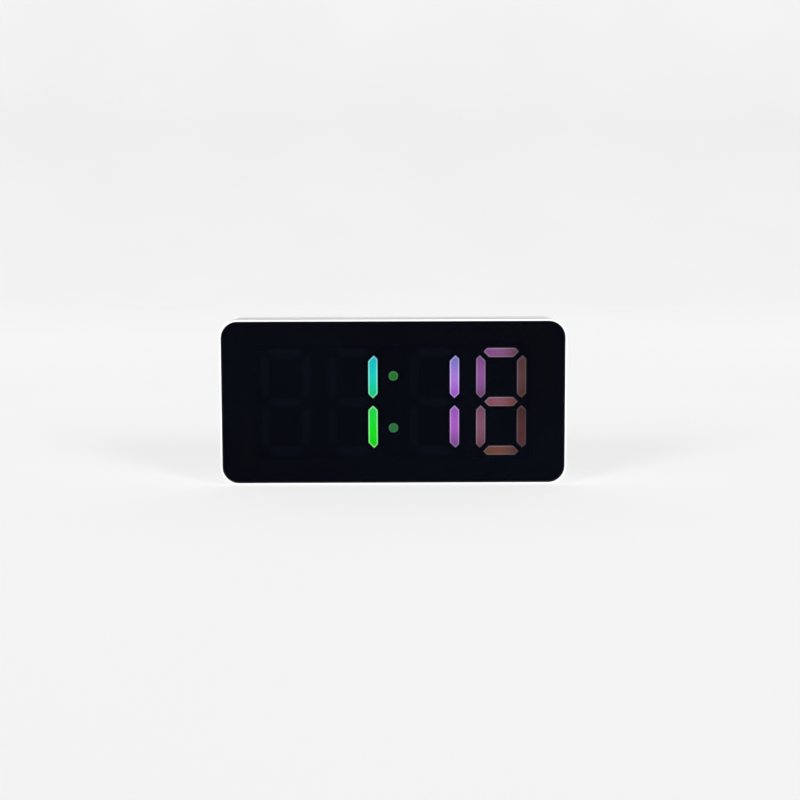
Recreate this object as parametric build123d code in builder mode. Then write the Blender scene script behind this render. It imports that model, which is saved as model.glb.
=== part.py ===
from build123d import *
import math
import os

os.makedirs("parts", exist_ok=True)

# A digital LED desk clock, in millimetres. It stands on Z = 0, its face looks along -Y, and X = Y = 0 is
# the middle of its box. Planes made by depth_plane have their origin at the middle of the face, so places on
# the face and on everything behind it are given from there.

# Housing
clock_width = 157.0
housing_height = 75.0
clock_depth = 34.0
foot_stand_off = 0.3
corner_radius = 8.3
wall = 2.0
front_wall = 2.0
front_depth_share = 0.706
seam = 0.15
rear_border_share = 0.273
rear_gap_share = 0.258
rim_width = 0.8
rim_edge_radius = 0.25
rear_edge_radius = 6.0
recess_edge = 0.3
fit_gap = 0.15
board_gap = 0.3
move_gap = 0.3
overrun = 1.0

# Front panel and its tape
panel_set_back = 0.1
panel_thickness = 2.0
panel_bevel = 0.4
tape_thickness = 0.3
tape_inset = 0.5
tape_overlap = 0.8

# Display: digits, bars and dots
digit_count = 4
display_side_border = 18.26
display_end_border = 13.1
digit_gap = 7.72
middle_gap = 14.32
bar_width = 4.2
bar_gap = 2.3
corner_shift = 0.43
dot_diameter = 4.3
dot_height_share = 0.5314

# Reflector block
reflector_side_wall = 2.46
reflector_end_wall = 2.6
reflector_depth = 7.8
reflector_gap = 0.3
reflector_flange = 1.9
reflector_flange_thickness = 1.5
lens_depth = 2.0
lens_gap = 0.05
lens_ledge = 0.3
cavity_taper = 6.0
peg_diameter = 2.0
peg_inset = 3.0
peg_past_board = 0.8
window_radius = 1.0
collar_wall = 1.2
collar_depth = 3.5

# LED chips
led_length = 2.0
led_width = 1.25
led_height = 0.8
led_place_share = 0.22

# Main board
board_side_room = 12.2
board_end_room = 1.5
board_thickness = 1.6
board_corner = 1.0
hole_gap = 0.1
board_screw_side_inset = 8.3
board_screw_end_inset = 2.8
board_boss_diameter = 4.0
board_notch_width = 54.0
board_notch_depth = 1.0

# Small screws of both boards
screw_core = 1.6
screw_pilot = 1.8
screw_length = 5.0
screw_head_diameter = 3.4
screw_head_height = 1.2
recess_share = 0.5

# Housing screws and their columns
column_inset = 10.0
front_column_diameter = 7.0
rear_column_diameter = 8.0
case_screw_core = 2.2
case_screw_pilot = 2.4
case_screw_hole = 2.8
case_screw_length = 14.0
case_head_diameter = 4.6
case_head_height = 1.8
case_head_recess = 4.0
case_head_hole = 5.2
web_thickness = 1.2

# Guide ribs inside the front housing
rib_thickness = 1.2
rib_inset = 18.5
rib_pitch = 18.0

# Step of the seam
lip_length = 1.6
lip_thickness = 0.9
lip_root = 2.0

# Rubber feet
foot_diameter = 8.0
foot_well = 0.8
foot_edge = 0.15
foot_side = 16.5
foot_front = 7.0
foot_pitch = 11.0

# Snooze key and its switch
key_length = 46.0
key_width = 8.0
key_flange = 2.0
key_flange_thickness = 1.0
key_stem_diameter = 3.0
key_travel = 0.6
key_edge = 0.4
side_switch_width = 6.0
side_switch_depth = 3.6
side_switch_height = 4.0
side_switch_drop = 6.3
side_plunger_diameter = 2.4
side_plunger_out = 1.4
side_plunger_in = 1.5

# Rear buttons
button_names = ("mode", "set", "up", "down", "alarm")
button_pitch = 14.0
button_length = 8.4
button_height = 4.4
button_out = 1.1
button_edge = 0.5
button_travel = 0.5
button_flange = 1.3
button_flange_thickness = 0.8
button_stem = 0.5
button_stem_diameter = 3.0
strip_border = 2.8
strip_depth = 1.5
strip_floor = 2.0
strip_pad = 2.0

# Tact switches on the button board
tact_size = 6.0
tact_height = 3.4
plunger_diameter = 3.4
plunger_out = 1.6
plunger_in = 1.4
slide_gap = 0.05
tact_bore_floor = 0.3

# Button board
strip_board_left_reach = 15.0
strip_board_right_reach = 6.5
strip_board_height = 15.0
strip_board_thickness = 1.2
strip_screw_inset = 3.5
strip_boss_diameter = 5.0

# Power socket and its recess
socket_side = 22.5
socket_width = 7.5
socket_height = 2.5
socket_chamfer = 0.9
socket_skin = 0.35
socket_mouth_depth = 4.0
socket_tongue_width = 5.2
socket_tongue_thickness = 0.6
socket_base_width = 9.0
socket_base_height = 5.0
plug_recess_width = 11.6
plug_recess_height = 7.6
plug_recess_depth = 2.8
plug_recess_corner = 1.5
plug_recess_wall = 1.4

# Buzzer and its grille
buzzer_side = 22.5
buzzer_z = -4.0
buzzer_diameter = 12.6
buzzer_height = 7.0
buzzer_vent = 2.0
buzzer_vent_depth = 0.8
grille_hole = 1.5
grille_pitch = 2.6
grille_rings = 2
buzzer_collar_height = 3.0

# Battery bay, cells and contacts
cell_diameter = 10.5
cell_nipple_diameter = 3.8
cell_nipple_length = 0.8
cell_crimp = 0.5
cell_count = 3
cell_pitch = 11.1
cell_slack = 0.25
bay_length = 50.0
bay_spring_room = 5.5
bay_side_slack = 0.45
bay_wall = 1.4
contact_width = 8.0
contact_thickness = 0.4
contact_gap = 0.1
spring_wire = 0.5
spring_wide = 3.4
spring_narrow = 1.9
spring_turns = 3

# Battery door
door_thickness = 1.6
door_ledge = 2.4
door_radius = 1.5
ledge_thickness = 2.3
ledge_backing = 1.2
door_seat_gap = 0.1
tab_width = 8.0
tab_place = 15.0
tab_root = 1.4
tab_foot = 1.3
tab_reach = 1.5
tab_slot_room = 0.7
latch_width = 12.0
latch_slit = 0.6
latch_leaf = 0.8
latch_depth = 2.0
latch_drop = 1.2
latch_span = 2.7
scoop_width = 11.0
scoop_depth = 1.0
grip_count = 3
grip_length = 14.0
grip_width = 0.8
grip_depth = 0.3
grip_pitch = 1.8
grip_drop = 7.0

# Parts on the main board
chip_inset = 34.3
chip_z = 6.0
chip_size = 10.0
chip_thickness = 1.4
chip_pins = 11
chip_pin_pitch = 0.8
driver_place = (14.0, 6.0)
driver_length = 17.9
driver_width = 7.5
driver_thickness = 2.3
driver_pins = 14
driver_pin_pitch = 1.27
pin_width = 0.35
pin_reach = 1.2
pin_thickness = 0.2
crystal_inset = 21.3
crystal_z = 14.0
crystal_diameter = 2.0
crystal_length = 6.0
crystal_lead = 0.35
crystal_lead_length = 2.4
capacitor_inset = 9.8
capacitor_pitch = 8.5
capacitor_z = -16.0
capacitor_diameter = 6.3
capacitor_height = 7.0
capacitor_base = 0.8
capacitor_groove = 0.4
resistor_length = 2.0
resistor_width = 1.2
resistor_height = 0.6
resistor_count = 8
resistor_pitch = 3.4
resistor_row = -22.0

# Cable, leads and their sockets
cable_inset = 19.3
cable_width = 10.0
cable_thickness = 0.9
cable_straight = 4.0
cable_into_socket = 1.0
plug_housing_width = 12.0
plug_housing_clearance = 1.7
plug_housing_length = 6.0
plug_housing_z = 14.5
lead_diameter = 1.1
lead_bend = 3.0
lead_pitch = 2.0
lead_socket_size = 6.0
lead_socket_height = 4.5
battery_socket_share = 0.46
battery_socket_z = -12.0
buzzer_socket_inset = 8.3
buzzer_socket_z = -16.0
buzzer_lead_share = 0.47

# Places worked out from the sizes above
front_y = -clock_depth / 2
rear_y = clock_depth / 2
centre_z = foot_stand_off + housing_height / 2
top_z = foot_stand_off + housing_height
panel_front_y = front_y + panel_set_back
panel_back_y = panel_front_y + panel_thickness
ledge_y = panel_back_y + tape_thickness
front_wall_back_y = ledge_y + front_wall
reflector_front_y = panel_back_y + reflector_gap
reflector_back_y = reflector_front_y + reflector_depth
board_back_y = reflector_back_y + board_thickness
split_y = front_y + front_depth_share * clock_depth
shell_front_y = split_y + seam
rear_inner_y = rear_y - wall
recess_width = clock_width - 2 * rim_width
recess_height = housing_height - 2 * rim_width
recess_radius = corner_radius - rim_width
inner_width = clock_width - 2 * wall
inner_height = housing_height - 2 * wall
inner_radius = corner_radius - wall
display_width = clock_width - 2 * display_side_border
display_height = housing_height - 2 * display_end_border
bar_columns_width = display_width - 2 * digit_gap - middle_gap - digit_count * bar_width
bar_column = bar_columns_width / (2 * digit_count)
bar_row = (display_height - bar_width) / 2
digit_pitch = 2 * bar_column + bar_width + digit_gap
middle_pitch = 2 * bar_column + bar_width + middle_gap
dot_height = dot_height_share * bar_row
reflector_width = display_width + 2 * reflector_side_wall
reflector_height = display_height + 2 * reflector_end_wall
peg_row = reflector_height / 2 - peg_inset
board_width = inner_width - 2 * board_side_room
board_height = inner_height - 2 * board_end_room
board_left = -board_width / 2
board_right = board_width / 2
board_screw_x = board_width / 2 - board_screw_side_inset
board_screw_z = board_height / 2 - board_screw_end_inset
column_x = clock_width / 2 - column_inset
column_z = housing_height / 2 - column_inset
rib_x = inner_width / 2 - rib_inset
rib_places = (-rib_x, rib_pitch - rib_x, rib_x - rib_pitch, rib_x)
foot_x = clock_width / 2 - foot_side
side_switch_top = housing_height / 2 - side_switch_drop
socket_x = clock_width / 2 - socket_side
buzzer_x = buzzer_side - clock_width / 2
chip_place = (board_left + chip_inset, chip_z)
crystal_place = (board_left + crystal_inset, crystal_z)
capacitor_x = board_right - capacitor_inset
capacitor_places = ((capacitor_x - capacitor_pitch, capacitor_z), (capacitor_x, capacitor_z))
cable_place = board_right - cable_inset
buzzer_socket_place = (board_left + buzzer_socket_inset, buzzer_socket_z)
bay_left = -bay_length / 2 - bay_wall
battery_socket_x = bay_left + battery_socket_share * (buzzer_socket_place[0] - bay_left)
battery_socket_place = (battery_socket_x, battery_socket_z)
window_width = reflector_width + 2 * board_gap
window_height = reflector_height + 2 * board_gap
flange_width = reflector_width + 2 * reflector_flange
flange_height = reflector_height + 2 * reflector_flange
mitre = bar_gap / math.sqrt(2)
digit_centres = (
    -middle_pitch / 2 - digit_pitch,
    -middle_pitch / 2,
    middle_pitch / 2,
    middle_pitch / 2 + digit_pitch,
)
peg_places = [
    (x, z)
    for x in (-(middle_pitch + digit_pitch) / 2, 0, (middle_pitch + digit_pitch) / 2)
    for z in (-peg_row, peg_row)
]
column_places = [(x, z) for x in (-column_x, column_x) for z in (-column_z, column_z)]
board_screw_places = [
    (x, z) for x in (-board_screw_x, board_screw_x) for z in (-board_screw_z, board_screw_z)
]
key_y = board_back_y + side_switch_depth / 2
key_under_z = top_z - wall - move_gap
case_head_seat_y = rear_y - case_head_recess
strip_floor_y = rear_y - strip_depth
strip_inner_y = strip_floor_y - strip_floor
button_length_hole = button_length + 2 * move_gap
button_height_hole = button_height + 2 * move_gap
strip_length = (len(button_names) - 1) * button_pitch + button_length_hole + 2 * strip_border
strip_height = button_height_hole + 2 * strip_border
button_centres = [(i - (len(button_names) - 1) / 2) * button_pitch for i in range(len(button_names))]
strip_board_left = button_centres[0] - strip_board_left_reach
strip_board_right = socket_x + strip_board_right_reach
strip_screw_places = (strip_board_left + strip_screw_inset, (button_centres[-1] + socket_x) / 2)
button_flange_y = strip_inner_y - move_gap
plunger_tip_y = button_flange_y - button_flange_thickness - button_stem
tact_top_y = plunger_tip_y - plunger_out
strip_board_rear_y = tact_top_y - tact_height
strip_board_front_y = strip_board_rear_y - strip_board_thickness
plug_housing_depth = (strip_board_front_y - board_back_y - plug_housing_clearance) / 2
socket_mouth_y = rear_y - plug_recess_depth
cell_length = bay_length - bay_spring_room
cell_y = rear_y - door_thickness - cell_slack - cell_diameter / 2
bay_floor_y = cell_y - cell_diameter / 2 - cell_slack
bay_height = (cell_count - 1) * cell_pitch + cell_diameter + 2 * bay_side_slack
bay_recess_width = bay_length + 2 * door_ledge
bay_recess_height = bay_height + 2 * door_ledge
rear_free_height = housing_height - bay_recess_height - strip_height
bay_centre_z = bay_recess_height / 2 + rear_border_share * rear_free_height - housing_height / 2
button_row = bay_centre_z + (bay_recess_height + strip_height) / 2 + rear_gap_share * rear_free_height
door_width = bay_recess_width - 2 * move_gap
door_height = bay_recess_height - 2 * move_gap
door_bottom = bay_centre_z - door_height / 2
door_top = bay_centre_z + door_height / 2
door_inner_y = rear_y - door_thickness
ledge_back_y = door_inner_y - door_seat_gap - ledge_thickness
latch_notch = latch_width + 2 * latch_slit
cell_heights = [bay_centre_z + (i - (cell_count - 1) / 2) * cell_pitch for i in range(cell_count)]


def depth_plane(y):
    """A sketch plane across the clock at depth y, seen from the front. A negative extrude goes rearward."""
    return Plane(origin=(0, y, centre_z), x_dir=(1, 0, 0), z_dir=(0, -1, 0))


def level_plane(z):
    """A level sketch plane at height z above the middle of the face."""
    return Plane.XY.offset(centre_z + z)


def side_plane(x):
    """A sketch plane across the clock's width, with local X along +Y and local Y along +Z."""
    return Plane(origin=(x, 0, centre_z), x_dir=(0, 1, 0), z_dir=(1, 0, 0))


def save(piece, name):
    """Labels a finished piece and writes it as one STEP file."""
    piece.part.label = name
    export_step(piece.part, f"parts/{name}.step")


def bar_points(bar, inset=0):
    """The six corners of one display bar, drawn in by inset. It runs along u; v points out of the digit."""
    origin, u, v, start, start_shift, end, end_shift = bar
    half = bar_width / 2 - inset
    start += inset * math.sqrt(2)
    end -= inset * math.sqrt(2)
    corners = [
        (start, start_shift),
        (start + half - start_shift, half),
        (end - half + end_shift, half),
        (end, end_shift),
        (end - half - end_shift, -half),
        (start + half + start_shift, -half),
    ]
    return [(origin[0] + a * u[0] + b * v[0], origin[1] + a * u[1] + b * v[1]) for a, b in corners]


def digit_bars(x):
    """The seven bars of the digit centred on x, clockwise from the top one, with the middle one last."""
    wide = bar_column - mitre
    tall = bar_row - mitre
    level = (-wide - corner_shift, corner_shift, wide + corner_shift, corner_shift)
    upright = (mitre, 0, tall + corner_shift, corner_shift)
    return [
        ((x, bar_row), (1, 0), (0, 1), *level),
        ((x + bar_column, 0), (0, 1), (1, 0), *upright),
        ((x + bar_column, 0), (0, -1), (1, 0), *upright),
        ((x, -bar_row), (1, 0), (0, -1), *level),
        ((x - bar_column, 0), (0, -1), (-1, 0), *upright),
        ((x - bar_column, 0), (0, 1), (-1, 0), *upright),
        ((x, 0), (1, 0), (0, 1), -wide, 0, wide, 0),
    ]


all_bars = [bar for x in digit_centres for bar in digit_bars(x)]
dot_places = [(0, -dot_height), (0, dot_height)]


def draw_bars(bars, inset):
    """Draws bars in the sketch that is open, drawn in by inset."""
    for bar in bars:
        Polygon(*bar_points(bar, inset), align=None)


def draw_columns(diameter):
    """Draws the four screw columns of the housing in the sketch that is open."""
    with Locations(*column_places):
        Circle(diameter / 2)


def draw_webs():
    """Draws the webs that tie each screw column to the two walls beside it."""
    side = inner_width / 2 - column_x
    top = inner_height / 2 - column_z
    for x, z in column_places:
        with Locations((x + math.copysign(side / 2, x), z)):
            Rectangle(side, web_thickness)
        with Locations((x, z + math.copysign(top / 2, z))):
            Rectangle(web_thickness, top)


def foot_places():
    """The middles of the four feet, seen from above."""
    return [(x, front_y + y) for x in (-foot_x, foot_x) for y in (foot_front, foot_front + foot_pitch)]


def make_front_housing():
    with BuildPart() as front_housing:
        with BuildSketch(depth_plane(front_y)):
            RectangleRounded(clock_width, housing_height, corner_radius)
        extrude(amount=front_y - split_y)
        fillet(front_housing.edges().group_by(Axis.Y)[0], rim_edge_radius)
        # Hollow, open at the back
        with BuildSketch(depth_plane(front_wall_back_y)):
            RectangleRounded(inner_width, inner_height, inner_radius)
        extrude(amount=-(split_y - front_wall_back_y), mode=Mode.SUBTRACT)
        # Recess that takes the panel, and the window behind it
        with BuildSketch(depth_plane(front_y)):
            RectangleRounded(recess_width, recess_height, recess_radius)
        extrude(amount=-(ledge_y - front_y), mode=Mode.SUBTRACT)
        # Screw columns, webs and board bosses
        with BuildSketch(depth_plane(front_wall_back_y)):
            draw_columns(front_column_diameter)
        extrude(amount=-(split_y - front_wall_back_y))
        with BuildSketch(depth_plane(front_wall_back_y)):
            draw_webs()
        extrude(amount=-(split_y - front_wall_back_y - lip_length - move_gap))
        with BuildSketch(depth_plane(front_wall_back_y)):
            with Locations(*board_screw_places):
                Circle(board_boss_diameter / 2)
        extrude(amount=-(reflector_back_y - front_wall_back_y))
        # Collar that locates the reflector
        with BuildSketch(depth_plane(front_wall_back_y)):
            collar_width = flange_width + 2 * board_gap
            collar_height = flange_height + 2 * board_gap
            Rectangle(collar_width + 2 * collar_wall, collar_height + 2 * collar_wall)
            Rectangle(collar_width, collar_height, mode=Mode.SUBTRACT)
        extrude(amount=-collar_depth)
        # Guide ribs above and below the board
        rib_height = inner_height / 2 - board_height / 2 - board_gap
        with BuildSketch(depth_plane(front_wall_back_y)):
            for side in (-1, 1):
                with Locations(*[(x, side * (inner_height / 2 - rib_height / 2)) for x in rib_places]):
                    Rectangle(rib_thickness, rib_height)
        extrude(amount=-(board_back_y - front_wall_back_y))
        # Window
        with BuildSketch(depth_plane(ledge_y)):
            RectangleRounded(window_width, window_height, window_radius)
        extrude(amount=-front_wall, mode=Mode.SUBTRACT)
        # Pilot holes, from the back
        with BuildSketch(depth_plane(split_y)):
            with Locations(*column_places):
                Circle(case_screw_pilot / 2)
        extrude(amount=split_y - front_wall_back_y - wall, mode=Mode.SUBTRACT)
        with BuildSketch(depth_plane(reflector_back_y)):
            with Locations(*board_screw_places):
                Circle(screw_pilot / 2)
        extrude(amount=reflector_back_y - front_wall_back_y, mode=Mode.SUBTRACT)
        # Slot for the snooze key in the top, wells for the feet in the base
        with BuildSketch(Plane.XY.offset(top_z)):
            with Locations((0, key_y)):
                SlotOverall(key_length + 2 * move_gap, key_width + 2 * move_gap)
        extrude(amount=-wall, mode=Mode.SUBTRACT)
        with BuildSketch(Plane.XY.offset(foot_stand_off)):
            with Locations(*foot_places()):
                Circle(foot_diameter / 2 + fit_gap)
        extrude(amount=foot_well, mode=Mode.SUBTRACT)
    save(front_housing, "front_housing")


def make_front_panel():
    with BuildPart() as front_panel:
        with BuildSketch(depth_plane(panel_front_y)):
            RectangleRounded(
                recess_width - 2 * fit_gap,
                recess_height - 2 * fit_gap,
                recess_radius - fit_gap,
            )
        extrude(amount=-panel_thickness)
        chamfer(front_panel.edges().group_by(Axis.Y)[0], panel_bevel)
    save(front_panel, "front_panel")

    with BuildPart() as panel_tape:
        with BuildSketch(depth_plane(panel_back_y)):
            RectangleRounded(
                recess_width - 2 * tape_inset,
                recess_height - 2 * tape_inset,
                recess_radius - tape_inset,
            )
            RectangleRounded(
                reflector_width - 2 * tape_overlap,
                reflector_height - 2 * tape_overlap,
                window_radius,
                mode=Mode.SUBTRACT,
            )
        extrude(amount=-tape_thickness)
    save(panel_tape, "panel_tape")


def make_reflector():
    with BuildPart() as display_reflector:
        with BuildSketch(depth_plane(reflector_front_y)):
            RectangleRounded(reflector_width, reflector_height, window_radius)
        extrude(amount=-reflector_depth)
        with BuildSketch(depth_plane(front_wall_back_y)):
            Rectangle(flange_width, flange_height)
        extrude(amount=-reflector_flange_thickness)
        # Pegs that pass through the board
        with BuildSketch(depth_plane(reflector_back_y)):
            with Locations(*peg_places):
                Circle(peg_diameter / 2)
        extrude(amount=-(board_thickness + peg_past_board))
        # Seats for the diffuser bars, then tapered light wells down to the LED chips
        with BuildSketch(depth_plane(reflector_front_y)):
            draw_bars(all_bars, 0)
            with Locations(*dot_places):
                Circle(dot_diameter / 2)
        extrude(amount=-lens_depth, mode=Mode.SUBTRACT)
        with BuildSketch(depth_plane(reflector_front_y + lens_depth)):
            draw_bars(all_bars, lens_ledge)
            with Locations(*dot_places):
                Circle(dot_diameter / 2 - lens_ledge)
        extrude(amount=-(reflector_depth - lens_depth), taper=cavity_taper, mode=Mode.SUBTRACT)
    save(display_reflector, "display_reflector")


def make_lenses():
    for number, x in enumerate(digit_centres, start=1):
        with BuildPart() as digit_segments:
            with BuildSketch(depth_plane(reflector_front_y)):
                draw_bars(digit_bars(x), lens_gap)
            extrude(amount=-lens_depth)
        save(digit_segments, f"digit_{number}_segments")

    with BuildPart() as colon_dots:
        with BuildSketch(depth_plane(reflector_front_y)):
            with Locations(*dot_places):
                Circle(dot_diameter / 2 - lens_gap)
        extrude(amount=-lens_depth)
    save(colon_dots, "colon_dots")


def make_led_chips():
    """Two chips behind each bar and one behind each dot, on the front of the main board."""
    with BuildPart() as led_chips:
        with BuildSketch(depth_plane(reflector_back_y)):
            for (x, z), u, v, start, _, end, _ in all_bars:
                for share in (-led_place_share, led_place_share):
                    along = (start + end) / 2 + share * (end - start)
                    with Locations((x + along * u[0], z + along * u[1])):
                        if u[0]:
                            Rectangle(led_length, led_width)
                        else:
                            Rectangle(led_width, led_length)
            with Locations(*dot_places):
                Rectangle(led_length, led_width)
        extrude(amount=led_height)
    save(led_chips, "led_chips")


def make_main_board():
    with BuildPart() as main_board:
        with BuildSketch(depth_plane(reflector_back_y)):
            RectangleRounded(board_width, board_height, board_corner)
            # Room for the snooze key above the board
            with Locations((0, board_height / 2)):
                Rectangle(board_notch_width, 2 * board_notch_depth, mode=Mode.SUBTRACT)
            with Locations(*peg_places):
                Circle(peg_diameter / 2 + hole_gap, mode=Mode.SUBTRACT)
            with Locations(*board_screw_places):
                Circle(screw_pilot / 2 + hole_gap, mode=Mode.SUBTRACT)
        extrude(amount=-board_thickness)
    save(main_board, "main_board")


def make_screws(name, plane, places, core, length, head_diameter, head_height):
    """Pan-head screws. The plane is the one the heads sit on, and looks the way the screws point."""
    with BuildPart() as screws:
        with BuildSketch(plane):
            with Locations(*places):
                Circle(core / 2)
        extrude(amount=length)
        with BuildSketch(plane):
            with Locations(*places):
                Circle(head_diameter / 2)
        extrude(amount=-head_height)
        outer = screws.faces().sort_by(Axis(plane.origin, plane.z_dir))[: len(places)]
        chamfer(outer.edges(), head_height / 4)
        # Drive recess
        with BuildSketch(plane.offset(-head_height)):
            with Locations(*places):
                RegularPolygon(head_diameter / 2 * recess_share, 4)
        extrude(amount=head_height * recess_share, mode=Mode.SUBTRACT)
    save(screws, name)


def make_board_parts():
    """The parts that stand on the back of the main board."""
    with BuildPart() as clock_chip:
        with BuildSketch(depth_plane(board_back_y + pin_thickness)):
            with Locations(chip_place):
                Rectangle(chip_size, chip_size)
        extrude(amount=-chip_thickness)
        x, z = chip_place
        for i in range(chip_pins):
            step = (i - (chip_pins - 1) / 2) * chip_pin_pitch
            for side in (-1, 1):
                reach = chip_size / 2 + pin_reach / 2
                with BuildSketch(depth_plane(board_back_y)):
                    with Locations((x + side * reach, z + step)):
                        Rectangle(pin_reach, pin_width)
                    with Locations((x + step, z + side * reach)):
                        Rectangle(pin_width, pin_reach)
                extrude(amount=-(pin_thickness + pin_thickness))
    save(clock_chip, "clock_chip")

    with BuildPart() as driver_chip:
        with BuildSketch(depth_plane(board_back_y + pin_thickness)):
            with Locations(driver_place):
                Rectangle(driver_length, driver_width)
        extrude(amount=-driver_thickness)
        x, z = driver_place
        with BuildSketch(depth_plane(board_back_y)):
            for i in range(driver_pins):
                for side in (-1, 1):
                    step = (i - (driver_pins - 1) / 2) * driver_pin_pitch
                    with Locations((x + step, z + side * (driver_width / 2 + pin_reach / 2))):
                        Rectangle(pin_width, pin_reach)
        extrude(amount=-(pin_thickness + pin_thickness))
    save(driver_chip, "driver_chip")

    with BuildPart() as clock_crystal:
        x, z = crystal_place
        can_y = board_back_y + crystal_diameter / 2
        can = Plane(origin=(x, can_y, centre_z + z), x_dir=(0, 1, 0), z_dir=(0, 0, 1))
        with BuildSketch(can):
            Circle(crystal_diameter / 2)
        extrude(amount=crystal_length)
        with BuildSketch(can):
            with Locations((0, -crystal_lead), (0, crystal_lead)):
                Circle(crystal_lead / 2)
        extrude(amount=-crystal_lead_length)
    save(clock_crystal, "clock_crystal")

    with BuildPart() as capacitors:
        for x, z in capacitor_places:
            axis = Plane(origin=(x, board_back_y, centre_z + z), x_dir=(1, 0, 0), z_dir=(0, 1, 0))
            radius = capacitor_diameter / 2
            waist = radius - capacitor_groove
            with BuildSketch(axis):
                RectangleRounded(capacitor_diameter, capacitor_diameter, capacitor_groove)
            extrude(amount=capacitor_base)
            with BuildSketch(Plane(origin=axis.origin, x_dir=(1, 0, 0), z_dir=(0, 0, 1))):
                with BuildLine():
                    Polyline(
                        (0, capacitor_base),
                        (radius, capacitor_base),
                        (radius, 2 * capacitor_base),
                        (waist, 2 * capacitor_base + capacitor_groove),
                        (radius, 2 * capacitor_base + 2 * capacitor_groove),
                        (radius, capacitor_height - capacitor_groove),
                        (radius - capacitor_groove, capacitor_height),
                        (0, capacitor_height),
                        close=True,
                    )
                make_face()
            revolve(axis=Axis(axis.origin, (0, 1, 0)))
    save(capacitors, "capacitors")

    with BuildPart() as chip_resistors:
        with BuildSketch(depth_plane(board_back_y)):
            with Locations(*[((i - (resistor_count - 1) / 2) * resistor_pitch, resistor_row)
                             for i in range(resistor_count)]):
                Rectangle(resistor_width, resistor_length)
        extrude(amount=-resistor_height)
    save(chip_resistors, "chip_resistors")


def make_cable():
    """The flat cable that joins the two boards, and the plug housings on its ends."""
    main_mid_y = board_back_y + plug_housing_depth / 2
    strip_mid_y = strip_board_front_y - plug_housing_depth / 2
    turn = (strip_mid_y - main_mid_y) / 2
    bottom = plug_housing_z - plug_housing_length / 2
    with BuildPart() as cable_sockets:
        with BuildSketch(level_plane(bottom)):
            with Locations((cable_place, main_mid_y), (cable_place, strip_mid_y)):
                Rectangle(plug_housing_width, plug_housing_depth)
        extrude(amount=plug_housing_length)
        # Mouths for the cable
        with BuildSketch(level_plane(bottom)):
            with Locations((cable_place, main_mid_y), (cable_place, strip_mid_y)):
                Rectangle(cable_width + 2 * hole_gap, cable_thickness + 2 * hole_gap)
        extrude(amount=cable_into_socket + hole_gap, mode=Mode.SUBTRACT)
    save(cable_sockets, "cable_sockets")

    with BuildPart() as board_cable:
        with BuildSketch(side_plane(cable_place - cable_width / 2)):
            low = bottom - cable_straight
            for side in (-1, 1):
                mid = (main_mid_y + strip_mid_y) / 2 + side * turn
                with Locations((mid, (low + bottom + cable_into_socket) / 2)):
                    Rectangle(cable_thickness, cable_straight + cable_into_socket)
            with Locations(((main_mid_y + strip_mid_y) / 2, low)):
                Circle(turn + cable_thickness / 2)
                Circle(turn - cable_thickness / 2, mode=Mode.SUBTRACT)
            with Locations(((main_mid_y + strip_mid_y) / 2, low + turn)):
                Rectangle(2 * turn - cable_thickness, 2 * turn, mode=Mode.SUBTRACT)
        extrude(amount=cable_width)
    save(board_cable, "board_cable")


def make_snooze():
    """The key in the top, its switch on the back of the main board, and the switch's plunger."""
    stem_tip = side_switch_top + side_plunger_out
    with BuildPart() as snooze_key:
        with BuildSketch(Plane.XY.offset(key_under_z)):
            with Locations((0, key_y)):
                SlotOverall(key_length, key_width)
        extrude(amount=top_z - key_under_z)
        fillet(snooze_key.edges().group_by(Axis.Z)[-1], key_edge)
        with BuildSketch(Plane.XY.offset(key_under_z)):
            with Locations((0, key_y)):
                SlotOverall(key_length + 2 * key_flange, key_width + 2 * key_flange)
        extrude(amount=-key_flange_thickness)
        with BuildSketch(Plane.XY.offset(key_under_z - key_flange_thickness)):
            with Locations((0, key_y)):
                Circle(key_stem_diameter / 2)
        extrude(amount=-(key_under_z - key_flange_thickness - centre_z - stem_tip))
    save(snooze_key, "snooze_key")

    with BuildPart() as snooze_switch:
        with BuildSketch(level_plane(side_switch_top)):
            with Locations((0, key_y)):
                Rectangle(side_switch_width, side_switch_depth)
        extrude(amount=-side_switch_height)
        with BuildSketch(level_plane(side_switch_top)):
            with Locations((0, key_y)):
                Circle(side_plunger_diameter / 2 + slide_gap)
        extrude(amount=-(side_plunger_in + key_travel + tact_bore_floor), mode=Mode.SUBTRACT)
    save(snooze_switch, "snooze_switch")

    with BuildPart() as snooze_plunger:
        with BuildSketch(level_plane(side_switch_top - side_plunger_in)):
            with Locations((0, key_y)):
                Circle(side_plunger_diameter / 2)
        extrude(amount=side_plunger_in + side_plunger_out)
    save(snooze_plunger, "snooze_plunger")


def make_rear_cavity():
    """The space inside the rear shell, with its back edges rounded to keep the wall even."""
    with BuildPart() as cavity:
        with BuildSketch(depth_plane(shell_front_y - overrun)):
            RectangleRounded(inner_width, inner_height, inner_radius)
        extrude(amount=-(rear_inner_y - shell_front_y + overrun))
        fillet(cavity.edges().group_by(Axis.Y)[-1], rear_edge_radius - wall)
    return cavity


def grille_places():
    """Holes on a hexagonal grid, in rings round a middle hole."""
    places = []
    for q in range(-grille_rings, grille_rings + 1):
        for r in range(-grille_rings, grille_rings + 1):
            if abs(q + r) <= grille_rings:
                x = grille_pitch * (q + r / 2)
                z = grille_pitch * r * math.sqrt(3) / 2
                places.append((buzzer_x + x, buzzer_z + z))
    return places


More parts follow.
